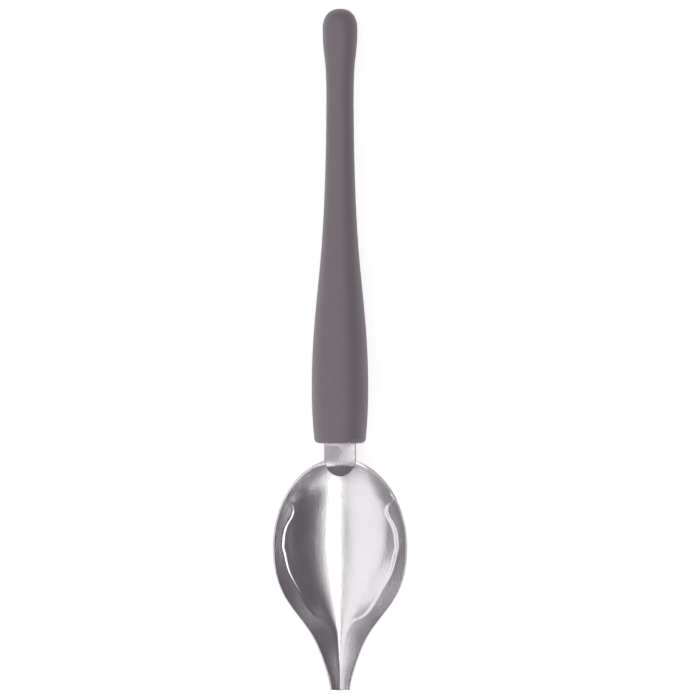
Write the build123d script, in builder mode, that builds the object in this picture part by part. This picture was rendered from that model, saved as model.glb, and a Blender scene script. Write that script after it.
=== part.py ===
"""A drizzle spoon: a stamped teardrop bowl with an open pouring spout, a neck strap
spot-welded inside the bowl, and a moulded grip of a hard core under a soft skin.

The spoon lies as it rests on a table, on the lowest point of its bowl and the
underside of its butt.  X is across it, +Y runs to the butt, -Y to the spout, and
+Z is up.  The origin is on the table, under the middle of the spoon.
Lengths are in millimetres and angles in degrees.
"""
from build123d import *
from math import atan, cos, degrees, hypot, radians, sin, tan
import os

# ---------------------------------------------------------------- overall
overall_length = 218.8
tip_y = -overall_length / 2
butt_y = overall_length / 2
overrun = 2.5                # cutting shapes run this far past what they cut

# ---------------------------------------------------------------- bowl
sheet = 0.9                  # thickness of the stainless sheet
rim_z = 9.95                 # the rim lies in one level plane
widest_y = -63.4             # where the bowl is widest
rear_length = 28.9           # from the widest place back to the rim at the neck
rear_lean = 1.5              # the rear wall comes in this far per millimetre down
low_depth = 6.6              # the walls are drawn down to here, below the floor
tip_z = 6.35                 # underside of the spout at its end
tip_tilt = 10.0              # the end of the spout is cut at this angle
rim_round = 0.25             # deburred edges of the rim

# Stations along the rim: place, half width over the sheet before its edge is
# rounded, and how far the wall comes in per millimetre down.
rim_stations = [
    # y, half width, lean
    (widest_y, 22.02, 1.15),
    (-80.0, 17.95, 1.40),
    (-90.3, 10.25, 1.10),
    (-99.3, 6.05, 0.62),
    (tip_y - overrun, 3.3, 0.24),
]

# Stations along the floor: place, height of the inside of the valley, radius of
# its round bottom, and the angle at which the round bottom runs out straight.
floor_stations = [
    # y, height, radius, angle
    (-32.0, 8.6, 24.0, 33.0),
    (-41.0, 5.4, 25.0, 33.0),
    (-51.0, 2.2, 28.0, 34.0),
    (-62.0, 0.91, 29.0, 34.0),
    (-72.0, 1.1, 23.0, 30.0),
    (-80.0, 1.7, 16.0, 27.0),
    (-90.3, 4.1, 6.5, 37.0),
    (-95.0, 5.05, 4.5, 39.5),
    (-99.3, 5.9, 3.0, 41.0),
    (-105.0, 6.8, 2.1, 41.5),
    (tip_y - overrun, 7.6, 1.5, 42.0),
]

# ---------------------------------------------------------------- neck strap
strap = 1.2                  # thickness of the strap
strap_half_width = 5.1
strap_lift = 0.45            # height of the strap's bend corner over the rim
strap_bend = 5.0             # underside radius of the bend over the rim
tongue_y = -40.6             # end of the tongue inside the bowl
tongue_shoulder_y = -35.2    # where the tongue starts to round off
tang_end_y = 36.0
tang_half_width = 3.0        # at its end inside the grip
tang_taper_y = -22.0         # the tang narrows from here on
lock_hole = 3.4              # diameter of the holes that lock the tang in the core
lock_hole_places = (-4.0, 20.0)

# ---------------------------------------------------------------- grip
grip_length = 139.4
front_radius = 8.1
front_round = 1.5
belly_radius = 9.06
bulb_place, bulb_radius = 132.8, 5.59
butt_bulge = (4.5, 4.45)     # a point on the butt's dome: past the bulb, and radius
skin = 1.6                   # thickness of the soft skin over the core
dome_inset = (0.5, 0.8)      # how much of an inset that point moves along, and in
key_hole = 2.4               # cross holes that key the skin to the core
key_places = (72.0, 88.0, 104.0, 120.0)

# Stations along the grip's side, from its front face: place and radius.
grip_stations = [
    (0.0, front_radius),
    (18.5, belly_radius),
    (39.4, 8.11),
    (58.6, 6.28),
    (77.8, 5.07),
    (104.0, 4.43),           # the waist
    (122.6, 4.85),
    (bulb_place, bulb_radius),
]
front_flare = 0.12           # how fast the side widens at the front face


def wall_outline(depth, gauge):
    """The plan of the bowl's wall at a depth under the rim, gauge inside its surface."""
    corners = []
    for y, half_width, lean in rim_stations:
        corners.append((half_width - lean * depth - gauge * hypot(1, lean), y))
    rear = rear_length - rear_lean * depth - gauge * hypot(1, rear_lean)
    tip_x, end_y = corners[-1]
    run = end_y - widest_y
    places = [(y - widest_y) / run for x, y in corners]
    with BuildSketch(Plane.XY.offset(rim_z - depth)) as outline:
        with BuildLine():
            for side in (1, -1):
                points = [(side * x, y) for x, y in corners]
                # Every outline has its stations at the same places along its curve,
                # so that the walls between them are straight from rim to floor.
                add(Edge.make_spline(points, [(0, run), (0, run)], parameters=places, scale=False))
            for start in (0, 90):
                EllipticalCenterArc((0, widest_y), corners[0][0], rear, start, arc_size=90)
            Line((-tip_x, end_y), (tip_x, end_y))
        make_face()
    return outline.sketch


def floor_section(station, gauge):
    """One cross-section of the bowl's trough, open far above the rim."""
    y, height, radius, angle = station
    round_radius = radius - gauge
    valley = height - sheet + gauge
    turn = radians(angle)
    turn_x = round_radius * sin(turn)
    turn_z = valley + round_radius * (1 - cos(turn))
    top_z = rim_z + overrun
    top_x = turn_x + (top_z - turn_z) / tan(turn)
    with BuildSketch(Plane.XZ.offset(-y)) as section:
        with BuildLine():
            CenterArc((0, valley + round_radius), round_radius, -90 - angle, 2 * angle)
            Line((turn_x, turn_z), (top_x, top_z))
            Line((top_x, top_z), (-top_x, top_z))
            Line((-top_x, top_z), (-turn_x, turn_z))
        make_face()
    return section.sketch


def bowl_form(gauge):
    """The solid inside the bowl's outer surface, drawn in by a gauge on all sides."""
    rim = wall_outline(0, gauge)
    low = wall_outline(low_depth, gauge)
    with BuildPart() as form:
        loft(sections=[low, rim], ruled=True)
        extrude(low, amount=-(rim_z - low_depth + overrun))
        if gauge:
            extrude(rim, amount=overrun / 2)
        sections = [floor_section(station, gauge) for station in floor_stations]
        loft(sections=sections, mode=Mode.INTERSECT)
    return form.part


with BuildPart() as bowl:
    add(bowl_form(0))
    add(bowl_form(sheet), mode=Mode.SUBTRACT)
    spout_end = Plane(
        origin=(0, tip_y, tip_z), x_dir=(1, 0, 0),
        z_dir=(0, -cos(radians(tip_tilt)), sin(radians(tip_tilt))),
    )
    split(bisect_by=spout_end, keep=Keep.BOTTOM)
    rim_edges = bowl.faces().sort_by(Axis.Z)[-1].edges().filter_by(GeomType.LINE, reverse=True)
    fillet(rim_edges, radius=rim_round)
bowl.part.label = "bowl"

# The line of the rear wall's inner face, the corner where the strap bends over the
# rim, and the axis of the grip from there down to its rest on the butt.
rear_rim_y = widest_y + rear_length - sheet * hypot(1, rear_lean)
corner_y = rear_rim_y + strap_lift * rear_lean
corner_z = rim_z + strap_lift
bulb_y = butt_y - (grip_length - bulb_place)
rest_angle = degrees(atan((corner_z + strap / 2 - bulb_radius) / (bulb_y - corner_y)))
axis_rise = cos(radians(rest_angle))
axis_fall = sin(radians(rest_angle))
front_y = butt_y - grip_length * axis_rise
front_z = corner_z + strap / 2 - (front_y - corner_y) * tan(radians(rest_angle))
grip_plane = Plane(
    origin=(0, front_y, front_z), x_dir=(0, axis_rise, -axis_fall), z_dir=(1, 0, 0)
)
grip_axis = Axis((0, front_y, front_z), (0, axis_rise, -axis_fall))

with BuildPart() as neck_tang:
    tongue_run = corner_y - tongue_y + overrun
    tang_run = tang_end_y - corner_y
    with BuildSketch(Plane.YZ) as strip:
        with BuildLine() as underside:
            FilletPolyline(
                (corner_y - tongue_run, corner_z - tongue_run / rear_lean),
                (corner_y, corner_z),
                (corner_y + tang_run, corner_z - tang_run * tan(radians(rest_angle))),
                radius=strap_bend,
            )
            offset(amount=strap, side=Side.LEFT, closed=True)
        make_face()
    extrude(amount=strap_half_width, both=True)
    with BuildSketch() as plan:
        with BuildLine():
            EllipticalCenterArc(
                (0, tongue_shoulder_y), strap_half_width, tongue_shoulder_y - tongue_y,
                start_angle=180, arc_size=180,
            )
            half = Polyline(
                (strap_half_width, tongue_shoulder_y),
                (strap_half_width, tang_taper_y),
                (tang_half_width, tang_end_y),
                (0, tang_end_y),
            )
            mirror(half, about=Plane.YZ)
        make_face()
        with Locations(*[(0, y) for y in lock_hole_places]):
            Circle(lock_hole / 2, mode=Mode.SUBTRACT)
    extrude(plan.sketch, amount=2 * rim_z, mode=Mode.INTERSECT)
    add(bowl.part, mode=Mode.SUBTRACT)
neck_tang.part.label = "neck_tang"


def grip_form(inset):
    """The turned shape of the grip, drawn in by an inset everywhere but its front."""
    past_bulb, bulge_radius = butt_bulge
    along, inwards = dome_inset
    bulge = (bulb_place + past_bulb - along * inset, bulge_radius - inwards * inset)
    butt = (grip_length - inset, 0)
    side_points = [(place, radius - inset) for place, radius in grip_stations]
    with BuildPart() as form:
        with BuildSketch(grip_plane):
            with BuildLine():
                side = Spline(*side_points, tangents=[(1, front_flare), (1, 0)])
                Spline(side @ 1, bulge, butt, tangents=[(1, 0), (0, -1)])
                Line(butt, (0, 0))
                Line((0, 0), side @ 0)
            make_face()
        revolve(axis=grip_axis)
    return form.part


with BuildPart() as grip_core:
    add(grip_form(skin))
    with BuildSketch(grip_plane):
        with Locations(*[(place, 0) for place in key_places]):
            Circle(key_hole / 2)
    extrude(amount=2 * belly_radius, both=True, mode=Mode.SUBTRACT)

with BuildPart() as grip_skin:
    add(grip_form(0))
    front_edge = grip_skin.edges().filter_by(GeomType.CIRCLE).sort_by(Axis.Y)[0]
    fillet(front_edge, radius=front_round)
    add(grip_core.part, mode=Mode.SUBTRACT)
grip_skin.part.label = "grip_skin"

with grip_core:
    add(neck_tang.part, mode=Mode.SUBTRACT)
grip_core.part.label = "grip_core"

os.makedirs("parts", exist_ok=True)
for piece in (bowl, neck_tang, grip_core, grip_skin):
    box = piece.part.bounding_box()
    print(piece.part.label, len(piece.solids()), piece.part.is_valid, round(piece.part.volume, 1), box)
export_step(bowl.part, "parts/bowl.step")
export_step(neck_tang.part, "parts/neck_tang.step")
export_step(grip_core.part, "parts/grip_core.step")
export_step(grip_skin.part, "parts/grip_skin.step")
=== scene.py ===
from math import pi, radians

import bpy
import numpy as np
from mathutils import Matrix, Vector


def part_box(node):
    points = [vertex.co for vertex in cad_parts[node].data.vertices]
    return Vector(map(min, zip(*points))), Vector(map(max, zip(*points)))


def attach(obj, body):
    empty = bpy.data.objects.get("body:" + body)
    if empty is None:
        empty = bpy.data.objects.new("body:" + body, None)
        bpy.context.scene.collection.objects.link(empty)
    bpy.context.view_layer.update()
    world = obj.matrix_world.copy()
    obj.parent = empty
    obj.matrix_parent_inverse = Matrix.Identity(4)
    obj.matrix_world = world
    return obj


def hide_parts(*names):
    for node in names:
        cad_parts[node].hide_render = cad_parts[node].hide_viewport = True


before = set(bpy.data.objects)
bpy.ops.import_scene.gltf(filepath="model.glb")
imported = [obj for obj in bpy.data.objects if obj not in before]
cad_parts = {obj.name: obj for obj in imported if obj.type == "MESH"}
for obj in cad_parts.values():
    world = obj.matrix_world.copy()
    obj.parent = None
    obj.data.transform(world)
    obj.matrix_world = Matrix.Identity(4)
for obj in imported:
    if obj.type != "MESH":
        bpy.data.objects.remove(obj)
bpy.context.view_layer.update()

MM = 0.001


# ------------------------------------------------------------------ camera
# The view is straight down on the lying spoon, with its butt at the top of the frame.
CAMERA_HEIGHT = 1.6
VIEW_WIDTH = 0.224           # what the frame takes in at the height of the rim
VIEW_CENTRE = (0.0032, -0.0001)
RIM_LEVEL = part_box("bowl")[1].z

camera_data = bpy.data.cameras.new("camera")
camera_data.sensor_width = 36.0
camera_data.lens = camera_data.sensor_width * (CAMERA_HEIGHT - RIM_LEVEL) / VIEW_WIDTH
camera_data.clip_start = 0.01
camera_data.clip_end = 20.0
camera = bpy.data.objects.new("camera", camera_data)
camera.location = (VIEW_CENTRE[0], VIEW_CENTRE[1], CAMERA_HEIGHT)
bpy.context.scene.collection.objects.link(camera)
bpy.context.scene.camera = camera
bpy.context.scene.view_settings.view_transform = "Standard"


# ------------------------------------------------------------------ the bowl's shape
# The bowl is pressed from one sheet.  Its inner face is a trough along the spoon, met
# by a wall that leans out to the rim.  All lengths here are in millimetres.
SHEET = 0.9
RIM = RIM_LEVEL / MM
WIDEST_Y = -63.4
TIP_Y = -109.4
REAR_LENGTH = 29.2
REAR_LEAN = 0.95
TIP_TILT = radians(10.0)
TIP_Z = 7.05
TIP_REACH = 4                # power by which the tilt fades from the tip to the widest place
RIM_STATIONS = np.array([
    # y, half width over the sheet, lean of the wall
    (-63.4, 22.42, 1.15),
    (-80.0, 18.5, 1.40),
    (-90.3, 11.0, 1.40),
    (-99.3, 6.75, 1.36),
    (-111.9, 4.1, 1.45),
])
FLOOR_STATIONS = np.array([
    # y, height of the valley, radius of its round bottom, angle where that ends
    (-33.0, 12.0, 31.0, 33.0),
    (-36.1, 9.95, 30.5, 33.0),
    (-40.6, 6.92, 29.0, 34.0),
    (-44.0, 4.9, 27.5, 35.0),
    (-47.4, 3.4, 26.0, 36.0),
    (-51.0, 2.3, 26.5, 37.0),
    (-56.0, 1.42, 26.5, 37.0),
    (-62.0, 0.96, 26.5, 37.0),
    (-72.0, 1.15, 22.7, 31.3),
    (-80.0, 2.05, 15.8, 28.3),
    (-90.3, 4.25, 6.3, 37.5),
    (-99.3, 6.5, 3.0, 36.5),
    (-111.9, 8.15, 1.5, 35.0),
])
# A narrow step runs between floor and wall along the sides: its width.
STEP_STATIONS = np.array([
    (-45.5, 0.0),
    (-50.5, 0.55),
    (-56.0, 0.85),
    (-68.0, 0.80),
    (-77.0, 0.40),
    (-90.0, 0.12),
    (-112.0, 0.0),
])
STEP_SLOPE = 0.065
NARROWEST_STEP = 0.01        # below this width there is no step
CRISP_WIDTH = 0.4            # from this width on, the step's corners are crisp
CRISP_SOFTNESS = 0.18        # how far the crisp corners are rounded
OUTER_SOFTNESS = 2.2         # how far floor and wall blend where there is no step
INNER_SOFTNESS = 1.6
SPOUT_SOFT_Y = (-95.0, -80.0)
SPOUT_SOFT_SHARE = (0.25, 1.0)

# The rim is followed by a turn from 0 at the neck to 1 at the end of the spout.
HALF_TURN = 0.42             # the turn at the widest place
FIRST_TURN = 0.004
DEPTH_RANGE = (-3.0, 16.0)   # the wall is looked for between these depths
DEPTH_HALVINGS = 40
CORNER_REACH = 22.0          # the step's corner is looked for up to here
CORNER_TRIALS = 600

ROWS = 230
ACROSS = 180
ACROSS_SPREAD = 0.9          # points lie closer towards the rim as this nears 1
EDGE_STEPS = 6
EDGE_ROUND = 0.42
EDGE_SHARE = 0.48            # most of the edge's width that one rounded corner takes


def spline(places, values, at, start_slope=None, end_slope=None):
    """A smooth curve through values at rising places, read at other places."""
    n = len(places)
    h = np.diff(places)
    rise = np.diff(values) / h
    matrix = np.zeros((n, n))
    right = np.zeros(n)
    for i in range(1, n - 1):
        matrix[i, i - 1:i + 2] = (h[i], 2 * (h[i - 1] + h[i]), h[i - 1])
        right[i] = 3 * (h[i] * rise[i - 1] + h[i - 1] * rise[i])
    matrix[0, :2] = (1, 0) if start_slope is not None else (2, 1)
    right[0] = start_slope if start_slope is not None else 3 * rise[0]
    matrix[-1, -2:] = (0, 1) if end_slope is not None else (1, 2)
    right[-1] = end_slope if end_slope is not None else 3 * rise[-1]
    slopes = np.linalg.solve(matrix, right)
    at = np.clip(at, places[0], places[-1])
    k = np.clip(np.searchsorted(places, at) - 1, 0, n - 2)
    t = (at - places[k]) / h[k]
    return (
        values[k] * (1 + 2 * t) * (1 - t) ** 2 + slopes[k] * h[k] * t * (1 - t) ** 2
        + values[k + 1] * t ** 2 * (3 - 2 * t) + slopes[k + 1] * h[k] * t ** 2 * (t - 1)
    )


def front_half_width(y):
    """Half the width of the rim over the sheet, from the widest place to the spout."""
    table = RIM_STATIONS[::-1]
    return spline(table[:, 0], table[:, 1], y, start_slope=0.0, end_slope=0.0)


def station_value(y, column):
    """A column of the rim's stations, read between them."""
    table = RIM_STATIONS[::-1]
    return spline(table[:, 0], table[:, column], y)


def split_turn(turn):
    """A turn as an angle round the rear of the rim and a place along its front."""
    angle = np.clip(turn / HALF_TURN, 0, 1) * pi / 2
    forward = np.clip((turn - HALF_TURN) / (1 - HALF_TURN), 0, 1)
    return angle, WIDEST_Y + (TIP_Y - WIDEST_Y) * forward


def rear_ellipse(gauge):
    """Half width and length of the rim's rear, a gauge inside the sheet's outer face."""
    half_width = RIM_STATIONS[0, 1] - gauge * np.hypot(1, RIM_STATIONS[0, 2])
    return half_width, REAR_LENGTH - gauge * np.hypot(1, REAR_LEAN)


def rim_point(turn, gauge):
    """Plan of the rim at a turn."""
    turn = np.asarray(turn, float)
    a, b = rear_ellipse(gauge)
    angle, front_y = split_turn(turn)
    rear_x, rear_y = a * np.sin(angle), WIDEST_Y + b * np.cos(angle)
    lean = station_value(front_y, 2)
    front_x = front_half_width(front_y) - gauge * np.hypot(1, lean)
    rear = turn <= HALF_TURN
    return np.where(rear, rear_x, front_x), np.where(rear, rear_y, front_y)


def rim_lean(turn):
    """Lean of the wall at the rim, at a turn."""
    angle, front_y = split_turn(turn)
    rear = REAR_LEAN * np.cos(angle) ** 2 + RIM_STATIONS[0, 2] * np.sin(angle) ** 2
    return rear if turn <= HALF_TURN else float(station_value(front_y, 2))


def wall_depth(x, y, gauge):
    """How far under the rim the wall is at a place in plan."""
    x = np.abs(x)
    front_y = np.minimum(y, WIDEST_Y)
    lean = station_value(front_y, 2)
    front = (front_half_width(front_y) - gauge * np.hypot(1, lean) - x) / lean
    half_width, length = rear_ellipse(gauge)
    low, high = np.full(x.shape, DEPTH_RANGE[0]), np.full(x.shape, DEPTH_RANGE[1])
    for _ in range(DEPTH_HALVINGS):
        mid = (low + high) / 2
        a = half_width - RIM_STATIONS[0, 2] * mid
        b = length - REAR_LEAN * mid
        inside = (x / a) ** 2 + ((y - WIDEST_Y) / b) ** 2 < 1
        low, high = np.where(inside, mid, low), np.where(inside, high, mid)
    return np.where(y > WIDEST_Y, (low + high) / 2, front)


def floor_height(x, y, gauge):
    """Height of the trough at a place in plan, over the table."""
    table = FLOOR_STATIONS[::-1]
    valley = spline(table[:, 0], table[:, 1], y) - SHEET + gauge
    radius = spline(table[:, 0], table[:, 2], y) - gauge
    angle = np.radians(spline(table[:, 0], table[:, 3], y))
    x = np.abs(x)
    turn_x = radius * np.sin(angle)
    inner = radius - np.sqrt(np.maximum(radius ** 2 - np.minimum(x, turn_x) ** 2, 0))
    return np.minimum(valley + inner + np.maximum(x - turn_x, 0) * np.tan(angle), RIM)


def soft_higher(a, b, softness):
    """The higher of two heights, with their crossing rounded off."""
    return np.maximum(a, b) + np.maximum(softness - np.abs(a - b), 0) ** 2 / (4 * softness)


def step_corner(y, gauge, width):
    """Where the floor ends beside the centre line, a step's width short of the wall."""
    across = np.linspace(0.0, CORNER_REACH, CORNER_TRIALS)
    row = np.full(across.shape, y)
    wall = RIM - wall_depth(across + width, row, gauge)
    floor = floor_height(across, row, gauge)
    at = int(np.argmax(wall > floor))
    return across[at], floor[at]


def surface_height(x, y, gauge, softness):
    """Height of the sheet's face along one row: floor, narrow step and wall."""
    wall = RIM - wall_depth(x, y, gauge)
    floor = floor_height(x, y, gauge)
    table = STEP_STATIONS[::-1]
    width = float(spline(table[:, 0], table[:, 1], y[0], start_slope=0.0, end_slope=0.0))
    crisp = np.clip(width / CRISP_WIDTH, 0, 1)
    loose = softness * float(np.interp(y[0], SPOUT_SOFT_Y, SPOUT_SOFT_SHARE))
    if width > NARROWEST_STEP:
        corner_x, corner_z = step_corner(y[0], gauge, width)
        step = corner_z + STEP_SLOPE * (np.abs(x) - corner_x)
        floor = -soft_higher(-floor, -step, CRISP_SOFTNESS)
    return soft_higher(wall, floor, loose * (1 - crisp) + CRISP_SOFTNESS * crisp)


def face_row(turn, gauge, depth, side, softness):
    """One row of points across a face of the sheet, ending at a depth under the rim."""
    lean = rim_lean(turn)
    inset = lean * depth
    x_plain, y_plain = rim_point(turn, gauge + inset / np.hypot(1, lean))
    x = side * float(x_plain)
    y = np.full(x.shape, float(y_plain))
    return np.stack([x, y, surface_height(x, y, gauge, softness)], axis=1)


def toward(point, other):
    """The unit direction from one point to another."""
    return (other - point) / np.linalg.norm(other - point)


def rim_edge(first, last, end, beside):
    """The sheet's edge from the end of one row to the other's, both corners rounded."""
    p, q = first[end], last[end]
    across = toward(p, q)
    width = min(EDGE_ROUND, np.linalg.norm(q - p) * EDGE_SHARE)
    points = []
    for corner, before, after in (
        (p, toward(p, first[beside]), across),
        (q, -across, toward(q, last[beside])),
    ):
        start, stop = corner + before * width, corner + after * width
        for step in range(EDGE_STEPS + 1):
            s = step / EDGE_STEPS
            points.append((1 - s) ** 2 * start + 2 * s * (1 - s) * corner + s ** 2 * stop)
    return points


def bowl_ring(turn, side):
    """One closed ring round the sheet: outer face, edge, inner face, edge."""
    lean = rim_lean(turn)
    drop = SHEET * lean / np.hypot(1, lean)
    outer = face_row(turn, 0.0, drop, side, OUTER_SOFTNESS)
    inner = face_row(turn, SHEET, 0.0, side, INNER_SOFTNESS)
    return np.array([
        *outer[1:-1], *rim_edge(outer, inner, -1, -2),
        *inner[-2:0:-1], *rim_edge(inner, outer, 0, 1),
    ])


def ring_faces(rows, count, reverse=False):
    """The four-sided faces between closed rings of points."""
    faces = []
    for j in range(rows - 1):
        for i in range(count):
            k = (i + 1) % count
            a, b = j * count + i, j * count + k
            c, d = (j + 1) * count + k, (j + 1) * count + i
            faces.append((a, d, c, b) if reverse else (a, b, c, d))
    return faces


def bowl_end_faces(start):
    """The faces that close the bowl's skin across the ring that starts at an index."""
    half = ACROSS - 1
    rim_count = 2 * (EDGE_STEPS + 1)
    right = [start + half + n for n in range(rim_count)]
    left = [start + half + rim_count + half + n for n in range(rim_count)]
    outer = [start + n for n in range(half)]
    inner = [start + half + rim_count + n for n in range(half)][::-1]
    strips = [(outer[n], outer[n + 1], inner[n + 1], inner[n]) for n in range(half - 1)]
    strips.append((outer[-1], *right, inner[-1]))
    strips.append((inner[0], *left, outer[0]))
    return strips


def bowl_mesh():
    """One closed skin: outer face, rounded rim, inner face, and the cut spout end."""
    reach = pi / 2 * ACROSS_SPREAD
    side = np.sin(np.linspace(-1, 1, ACROSS + 1) * pi / 2 * ACROSS_SPREAD) / np.sin(reach)
    rings = np.array([bowl_ring(turn, side) for turn in np.linspace(FIRST_TURN, 1, ROWS)])
    # The end of the spout is cut by a leaning plane, so its underside reaches further.
    forward = np.clip((WIDEST_Y - rings[:, :, 1]) / (WIDEST_Y - TIP_Y), 0, 1) ** TIP_REACH
    rings[:, :, 1] += forward * np.tan(TIP_TILT) * (rings[:, :, 2] - TIP_Z)
    count = rings.shape[1]
    faces = ring_faces(ROWS, count)
    faces.extend(bowl_end_faces((ROWS - 1) * count))
    faces.extend(face[::-1] for face in bowl_end_faces(0))
    return rings.reshape(-1, 3) * MM, faces


# ------------------------------------------------------------------ the neck strap
# One strip: a tongue inside the bowl, a bend over the rim, the neck, and the tang.
STRAP = 1.2
STRAP_SLOPE = 1 / 1.5        # fall of the tongue down the bowl's rear wall
CAD_REAR_LENGTH = 28.9       # the bowl's rear in the CAD, which the bend is placed by
STRAP_HALF_WIDTH = 5.1
TONGUE_Y = -40.6
TONGUE_SHOULDER_Y = -35.2
TANG_TAPER_Y = -22.0
TANG_END_Y = 36.0
TANG_HALF_WIDTH = 3.0
STRAP_LIFT = 0.45
BEND_RADIUS = 5.0
BULB_Y, BULB_RADIUS = 102.8, 5.59
CROWN_CENTRE, CROWN_RADIUS = 2.2, 48.0
STRAP_EDGE = 0.38
STRAP_THINS_Y = -34.5
TONGUE_THINNING = 0.7
CROWN_STARTS_Y, CROWN_RUN = -37.5, 4.0
DISH_RADIUS, DISH_RUN = 26.0, 2.0        # the tongue's top is slightly hollow instead
FLAT_STARTS_Y, FLAT_RUN = -31.6, 1.3     # the top is flat again where the grip starts
FLAT_SINK = 0.01
STRAP_EDGE_SHARE = 0.6       # most of the half width that the rounded edge takes
SLOPE_STEP = 0.01
FIRST_TONGUE_TURN = 0.03
TONGUE_ROWS, NECK_ROWS, TANG_ROWS = 60, 90, 40
STRAP_ACROSS = 61


def strap_half_width(y):
    """Half the width of the strap in plan: round tongue, even neck, tapered tang."""
    tongue = np.clip((TONGUE_SHOULDER_Y - y) / (TONGUE_SHOULDER_Y - TONGUE_Y), 0, 1)
    taper = np.clip((y - TANG_TAPER_Y) / (TANG_END_Y - TANG_TAPER_Y), 0, 1)
    even = STRAP_HALF_WIDTH - (STRAP_HALF_WIDTH - TANG_HALF_WIDTH) * taper
    return even * np.sqrt(1 - tongue ** 2)


def strap_line(y):
    """Height of the strap's underside on the centre line: over the rim, then down."""
    lean = 1 / STRAP_SLOPE
    corner_y = WIDEST_Y + CAD_REAR_LENGTH - SHEET * np.hypot(1, lean) + STRAP_LIFT * lean
    corner_z = RIM + STRAP_LIFT
    fall = (corner_z + STRAP / 2 - BULB_RADIUS) / (BULB_Y - corner_y)
    behind = corner_z - (y - corner_y) * fall
    ahead = corner_z - (corner_y - y) * STRAP_SLOPE
    reach = BEND_RADIUS * np.tan((np.arctan(STRAP_SLOPE) + np.arctan(fall)) / 2)
    return -soft_higher(-behind, -ahead, reach * (STRAP_SLOPE + fall))


def strap_top(y, x, top):
    """Height of the strap's top face along one row: crowned, hollow or flat."""
    level = np.clip((y - CROWN_STARTS_Y) / CROWN_RUN, 0, 1)
    dish = np.clip((TONGUE_SHOULDER_Y - y) / DISH_RUN, 0, 1)
    flat = np.clip((y - FLAT_STARTS_Y) / FLAT_RUN, 0, 1)
    rise = top - level * (x - CROWN_CENTRE) ** 2 / (2 * CROWN_RADIUS)
    rise = rise + (1 - level) * x ** 2 / (2 * DISH_RADIUS) * dish
    return rise * (1 - flat) + (top - FLAT_SINK) * flat


def strap_ring(y, across, edge_turn):
    """One closed ring round the strap: top, rounded edge, underside, rounded edge."""
    half = strap_half_width(y)
    under = strap_line(y)
    slope = (strap_line(y + SLOPE_STEP) - strap_line(y - SLOPE_STEP)) / (2 * SLOPE_STEP)
    thinned = np.clip((STRAP_THINS_Y - y) / (STRAP_THINS_Y - TONGUE_Y), 0, 1)
    top = under + (STRAP - TONGUE_THINNING * thinned) * np.hypot(1, slope)
    edge = min(STRAP_EDGE, half * STRAP_EDGE_SHARE)
    x = across * (half - edge)
    rise = strap_top(y, x, top)
    sag = rise - top
    ring = [(px, y, pz) for px, pz in zip(x, rise)]
    for turn in edge_turn:
        drop = edge * (1 - np.cos(turn))
        ring.append((half - edge + edge * np.sin(turn), y, rise[-1] - drop))
    under_x = x[::-1] * half / (half - edge)
    ring.extend((px, y, under + ps) for px, ps in zip(under_x, sag[::-1]))
    for turn in edge_turn[::-1]:
        drop = edge * (1 - np.cos(turn))
        ring.append((-(half - edge) - edge * np.sin(turn), y, rise[0] - drop))
    return ring


def strap_mesh():
    """The strap as a closed skin: rows across it, with rounded long edges."""
    tongue_turn = np.linspace(FIRST_TONGUE_TURN, 1, TONGUE_ROWS)
    tongue_length = TONGUE_SHOULDER_Y - TONGUE_Y
    rows_y = np.concatenate([
        TONGUE_SHOULDER_Y - tongue_length * np.cos(tongue_turn * pi / 2),
        np.linspace(TONGUE_SHOULDER_Y, TANG_TAPER_Y, NECK_ROWS)[1:],
        np.linspace(TANG_TAPER_Y, TANG_END_Y, TANG_ROWS)[1:],
    ])
    across = np.linspace(-1, 1, STRAP_ACROSS)
    edge_turn = np.linspace(0, pi / 2, EDGE_STEPS + 1)[1:]
    rings = [strap_ring(y, across, edge_turn) for y in rows_y]
    count = len(rings[0])
    faces = ring_faces(len(rings), count, reverse=True)
    last = (len(rings) - 1) * count
    faces.append(tuple(range(count)))
    faces.append(tuple(range(last, last + count))[::-1])
    return np.array(rings).reshape(-1, 3) * MM, faces


def make_object(name, verts, faces, material):
    """A smooth-shaded object in the scene, made from points and faces."""
    mesh = bpy.data.meshes.new(name)
    mesh.from_pydata([tuple(v) for v in verts], [], faces)
    mesh.validate()
    for polygon in mesh.polygons:
        polygon.use_smooth = True
    mesh.materials.append(material)
    piece = bpy.data.objects.new(name, mesh)
    bpy.context.scene.collection.objects.link(piece)
    return piece


# ------------------------------------------------------------------ materials
def new_material(name):
    """A node material: itself, its nodes and links, and its shader."""
    material = bpy.data.materials.new(name)
    material.use_nodes = True
    nodes, links = material.node_tree.nodes, material.node_tree.links
    return material, nodes, links, nodes["Principled BSDF"]


def noise(nodes, links, scale, stretch=(1, 1, 1), detail=3.0):
    """Object-space noise with the given cells per metre, stretched along an axis."""
    coords = nodes.new("ShaderNodeTexCoord")
    mapping = nodes.new("ShaderNodeMapping")
    mapping.inputs["Scale"].default_value = stretch
    texture = nodes.new("ShaderNodeTexNoise")
    texture.inputs["Scale"].default_value = scale
    texture.inputs["Detail"].default_value = detail
    links.new(coords.outputs["Object"], mapping.inputs["Vector"])
    links.new(mapping.outputs["Vector"], texture.inputs["Vector"])
    return texture.outputs["Fac"]


def ramp(nodes, links, value, low, high, from_low=0.3, from_high=0.7):
    """Value stretched from one range to another."""
    node = nodes.new("ShaderNodeMapRange")
    node.inputs["From Min"].default_value = from_low
    node.inputs["From Max"].default_value = from_high
    node.inputs["To Min"].default_value = low
    node.inputs["To Max"].default_value = high
    links.new(value, node.inputs["Value"])
    return node.outputs["Result"]


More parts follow.
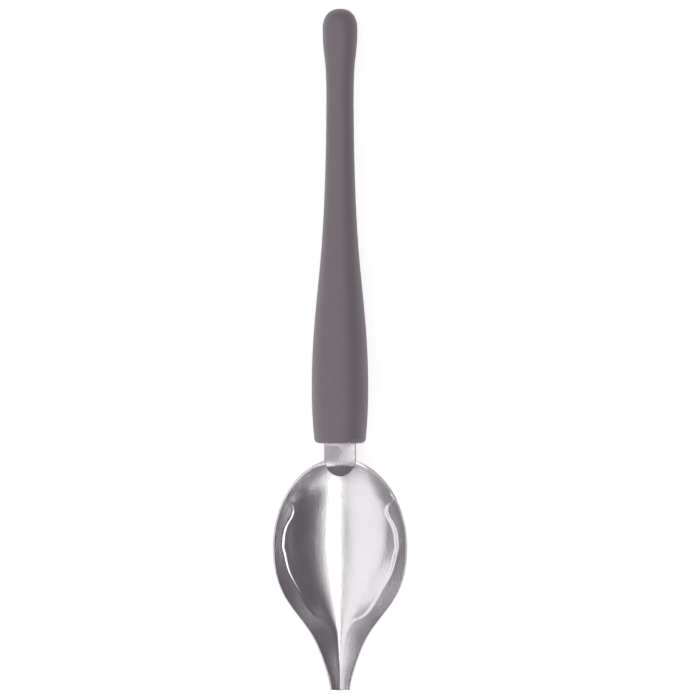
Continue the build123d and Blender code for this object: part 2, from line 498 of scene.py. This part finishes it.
def bump(nodes, links, shader, height, distance, strength, under=None):
    """A bump on a shader, laid over another one if that is given."""
    node = nodes.new("ShaderNodeBump")
    node.inputs["Distance"].default_value = distance
    node.inputs["Strength"].default_value = strength
    links.new(height, node.inputs["Height"])
    if under is not None:
        links.new(under, node.inputs["Normal"])
    links.new(node.outputs["Normal"], shader.inputs["Normal"])
    return node.outputs["Normal"]


def steel(name, colour, rough_low, rough_high):
    """Satin sheet: soft cloudy reflections, with fine wipe marks along the spoon."""
    material, nodes, links, shader = new_material(name)
    shader.inputs["Base Color"].default_value = (*colour, 1)
    shader.inputs["Metallic"].default_value = 1.0
    grain = noise(nodes, links, 2200, stretch=(1, 0.6, 1), detail=5)
    cloud = noise(nodes, links, 120, stretch=(1, 0.4, 1), detail=4)
    wipe = noise(nodes, links, 420, stretch=(1, 0.03, 1), detail=2)
    links.new(ramp(nodes, links, cloud, rough_low, rough_high), shader.inputs["Roughness"])
    soft = bump(nodes, links, shader, cloud, distance=0.0006, strength=0.10)
    lined = bump(nodes, links, shader, wipe, distance=0.00006, strength=0.25, under=soft)
    bump(nodes, links, shader, grain, distance=0.00007, strength=0.6, under=lined)
    return material


def soft_skin(name, colour):
    """Soft-touch skin: matt, with a fine moulded grain."""
    material, nodes, links, shader = new_material(name)
    mottle = noise(nodes, links, 300, detail=3)
    mix = nodes.new("ShaderNodeMix")
    mix.data_type = "RGBA"
    mix.inputs["A"].default_value = (*[c * 0.94 for c in colour], 1)
    mix.inputs["B"].default_value = (*[c * 1.05 for c in colour], 1)
    links.new(mottle, mix.inputs["Factor"])
    links.new(mix.outputs["Result"], shader.inputs["Base Color"])
    shader.inputs["Roughness"].default_value = 0.48
    grain = noise(nodes, links, 5200, detail=2)
    bump(nodes, links, shader, grain, distance=0.00005, strength=0.5)
    return material


def hard_plastic(name, colour):
    """Hard moulded plastic, with a slightly uneven gloss."""
    material, nodes, links, shader = new_material(name)
    grain = noise(nodes, links, 3000, detail=2)
    links.new(ramp(nodes, links, grain, 0.42, 0.55), shader.inputs["Roughness"])
    shader.inputs["Base Color"].default_value = (*colour, 1)
    bump(nodes, links, shader, grain, distance=0.00003, strength=0.4)
    return material


bowl_steel = steel("bowl_steel", (0.80, 0.785, 0.80), 0.16, 0.30)
# The strap gets the bowl's steel in a darker colour: painted shade for the darker look of its
# sloping neck and tongue.
strap_steel = steel("strap_steel", (0.48, 0.465, 0.48), 0.16, 0.30)
skin_rubber = soft_skin("skin_rubber", (0.175, 0.150, 0.165))
core_plastic = hard_plastic("core_plastic", (0.05, 0.045, 0.05))


def repaint(node, material):
    """Gives a CAD node a new material and leaves its mesh alone."""
    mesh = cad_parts[node].data
    if not mesh.materials:
        mesh.materials.append(material)
    for i in range(len(mesh.materials)):
        mesh.materials[i] = material


repaint("grip_skin", skin_rubber)
repaint("grip_core", core_plastic)

# ------------------------------------------------------------------ pieces
bowl = make_object("bowl_sheet", *bowl_mesh(), bowl_steel)
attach(bowl, "root")
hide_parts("bowl")

strap = make_object("neck_strap", *strap_mesh(), strap_steel)
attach(strap, "root")
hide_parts("neck_tang")

# ------------------------------------------------------------------ studio
BOX_LENGTH = 3.4
BOX_CENTRE_Y = -0.6
WORLD_COLOUR = (0.96, 0.84, 0.97, 1)
WORLD_STRENGTH = 0.145
FLOOR_REACH = 8.0
FLOOR_DROP = 0.00005         # keeps the floor just clear of the spoon
FLOOR_GREY = 0.9
FLOOR_GLOW = 0.5


def area_light(name, location, rotation, width, length, radiance):
    """A rectangular light that the camera doesn't see."""
    data = bpy.data.lights.new(name, "AREA")
    data.shape = "RECTANGLE"
    data.size, data.size_y = width, length
    data.energy = radiance * pi * width * length
    light = bpy.data.objects.new(name, data)
    light.location = location
    light.rotation_euler = rotation
    light.visible_camera = False
    bpy.context.scene.collection.objects.link(light)


def soft_box(name, angle, distance, width, radiance):
    """A soft box over the spoon, long along it, leaning to one side by an angle."""
    turn = radians(angle)
    location = (distance * np.sin(turn), BOX_CENTRE_Y, distance * np.cos(turn))
    area_light(name, location, (0, turn, 0), width, BOX_LENGTH, radiance)


def make_world():
    """An even, dim surround."""
    world = bpy.data.worlds.new("studio")
    world.use_nodes = True
    background = world.node_tree.nodes["Background"]
    background.inputs["Color"].default_value = WORLD_COLOUR
    background.inputs["Strength"].default_value = WORLD_STRENGTH
    bpy.context.scene.world = world


def make_floor():
    """A wide pale table, glowing a little so that it stays white."""
    mesh = bpy.data.meshes.new("floor")
    corners = [(-1, -1), (1, -1), (1, 1), (-1, 1)]
    mesh.from_pydata([(FLOOR_REACH * x, FLOOR_REACH * y, 0) for x, y in corners], [], [(0, 1, 2, 3)])
    table = bpy.data.objects.new("floor", mesh)
    table.location.z = -FLOOR_DROP
    paint, nodes, links, shader = new_material("floor_paint")
    shader.inputs["Base Color"].default_value = (FLOOR_GREY, FLOOR_GREY, FLOOR_GREY, 1)
    shader.inputs["Roughness"].default_value = 0.9
    shader.inputs["Emission Color"].default_value = (1, 1, 1, 1)
    shader.inputs["Emission Strength"].default_value = FLOOR_GLOW
    mesh.materials.append(paint)
    bpy.context.scene.collection.objects.link(table)
    return table


soft_box("top_box", angle=8.2, distance=0.95, width=0.34, radiance=2.0)
soft_box("left_box", angle=-40.5, distance=0.9, width=1.0, radiance=0.92)
soft_box("right_box", angle=25.5, distance=0.95, width=0.24, radiance=0.42)
area_light(
    "front_box", location=(0.42, -1.1, 0.50), rotation=(radians(66), 0, radians(21)),
    width=0.9, length=0.34, radiance=0.55,
)
make_world()
floor = make_floor()
